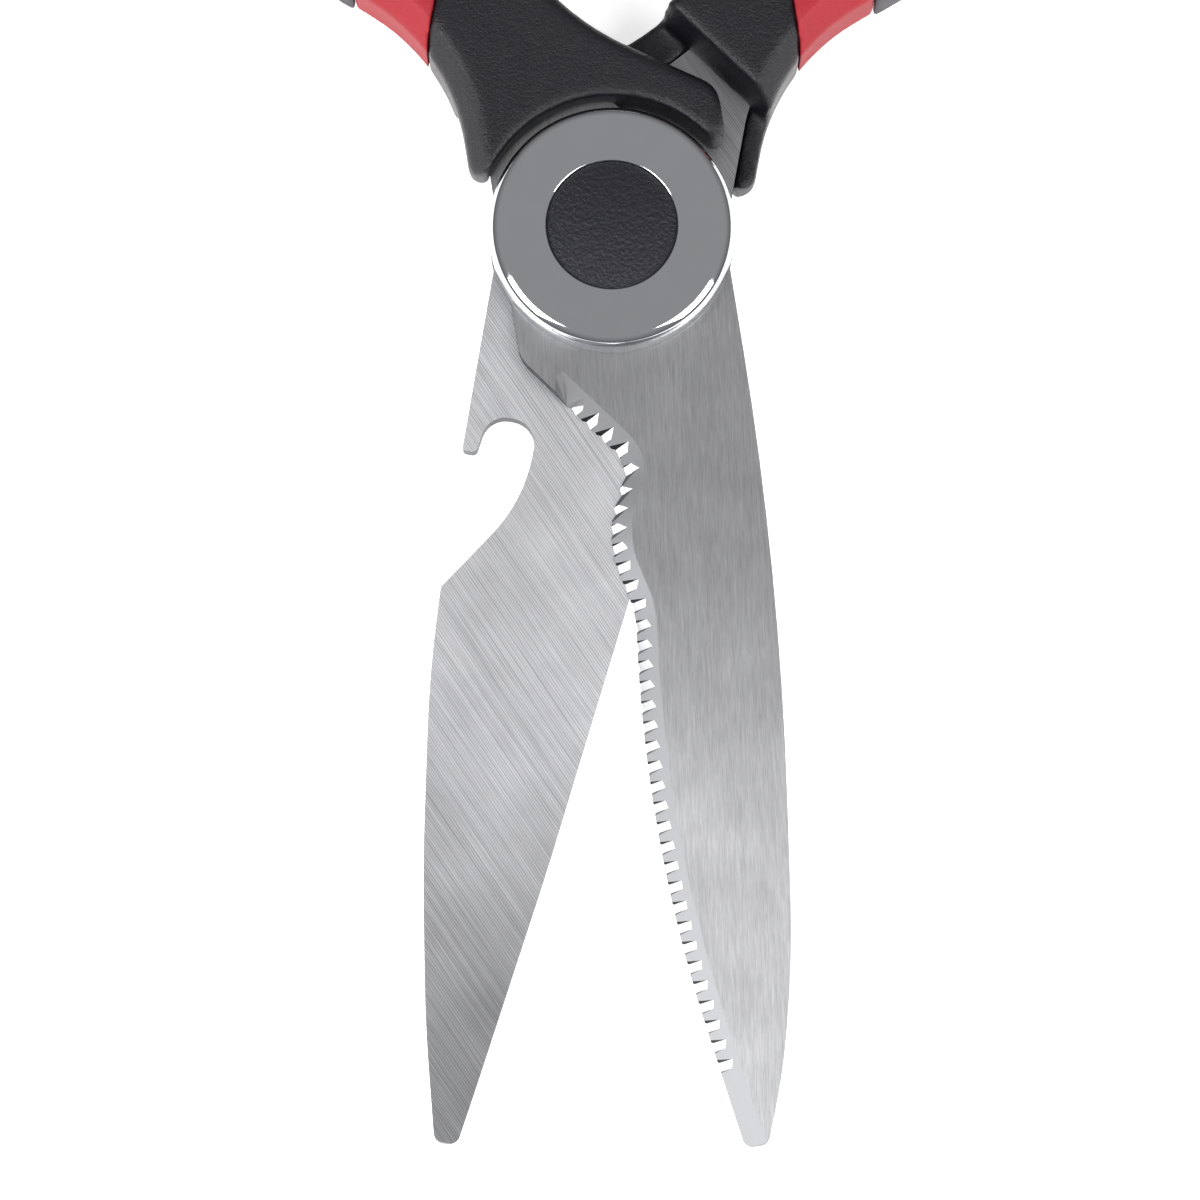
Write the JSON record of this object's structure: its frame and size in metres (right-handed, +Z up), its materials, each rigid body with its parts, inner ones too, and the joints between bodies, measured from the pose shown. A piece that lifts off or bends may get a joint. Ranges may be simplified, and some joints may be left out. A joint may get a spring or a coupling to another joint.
{
  "type": "kitchen shears",
  "caption": "Multi-purpose kitchen shears with a serrated blade, a plain blade with a bottle opener, a bolted pivot and three-colour moulded loop handles.",
  "frame": {"origin": "on the pivot's axis, at the level of the table that the shears lie on: the centre of the rear cap's flat face", "axes": "+Z up along the pivot's axis, out of the pictured side; -Y along the middle line of the opened blades, +Y towards the finger loops; +X to the side of the front blade's tip and the rear handle"},
  "size_m": [0.1248, 0.2163, 0.0142],
  "materials": {
    "blade_steel": "brushed along the blade outside, ground across it inside",
    "chrome_plate": "bright plate",
    "plated_steel": "zinc plate",
    "spring_steel": "tempered and oiled",
    "bronze": "turned",
    "black_plastic": "satin",
    "red_soft_plastic": "soft matte",
    "charcoal_soft_plastic": "soft matte",
    "grained_plastic": "fine leather grain",
    "grey_nylon": "as moulded"
  },
  "bodies": {
    "front_half": {"front_blade": "blade_steel", "front_handle": "black_plastic", "front_band": "red_soft_plastic", "front_grip": "charcoal_soft_plastic", "pivot_bolt": "plated_steel", "front_carrier": "grey_nylon", "chrome_bezel": "chrome_plate", "centre_insert": "grained_plastic", "pivot_nut": "plated_steel", "disc_spring": "spring_steel", "rear_carrier": "grey_nylon", "rear_cap": "chrome_plate"},
    "rear_half": {"rear_blade": "blade_steel", "rear_handle": "black_plastic", "rear_band": "red_soft_plastic", "rear_grip": "charcoal_soft_plastic", "pivot_bush": "bronze", "thrust_washer": "plated_steel"}
  },
  "joints": [
    {"name": "pivot", "type": "hinge", "parent": "front_half", "child": "rear_half", "pos_m": [0, 0, 0], "axis": [0, 0, 1], "range_deg": [-80, 19.08]}
  ]
}
